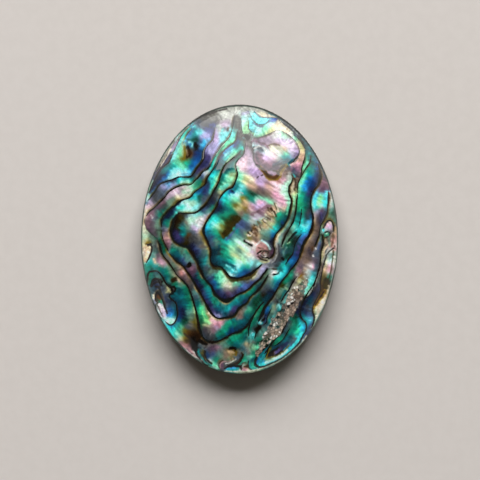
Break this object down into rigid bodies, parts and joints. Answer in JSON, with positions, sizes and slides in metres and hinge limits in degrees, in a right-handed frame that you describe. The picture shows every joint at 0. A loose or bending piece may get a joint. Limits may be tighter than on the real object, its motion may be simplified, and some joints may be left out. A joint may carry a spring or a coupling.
{
  "type": "abalone shell cabochon",
  "caption": "Polished oval cabochon cut from abalone shell, with a flat back, a low upright girdle and a domed pearly face crossed by dark growth lines.",
  "frame": {"origin": "middle of the flat back", "axes": "+Y along the long axis of the oval, +X across it, +Z from the flat back up through the crown of the dome"},
  "size_m": [0.022, 0.03, 0.006],
  "materials": {
    "abalone_pearl": "polished iridescent shell"
  },
  "bodies": {
    "root": {"abalone_cabochon": "abalone_pearl"}
  },
  "joints": []
}
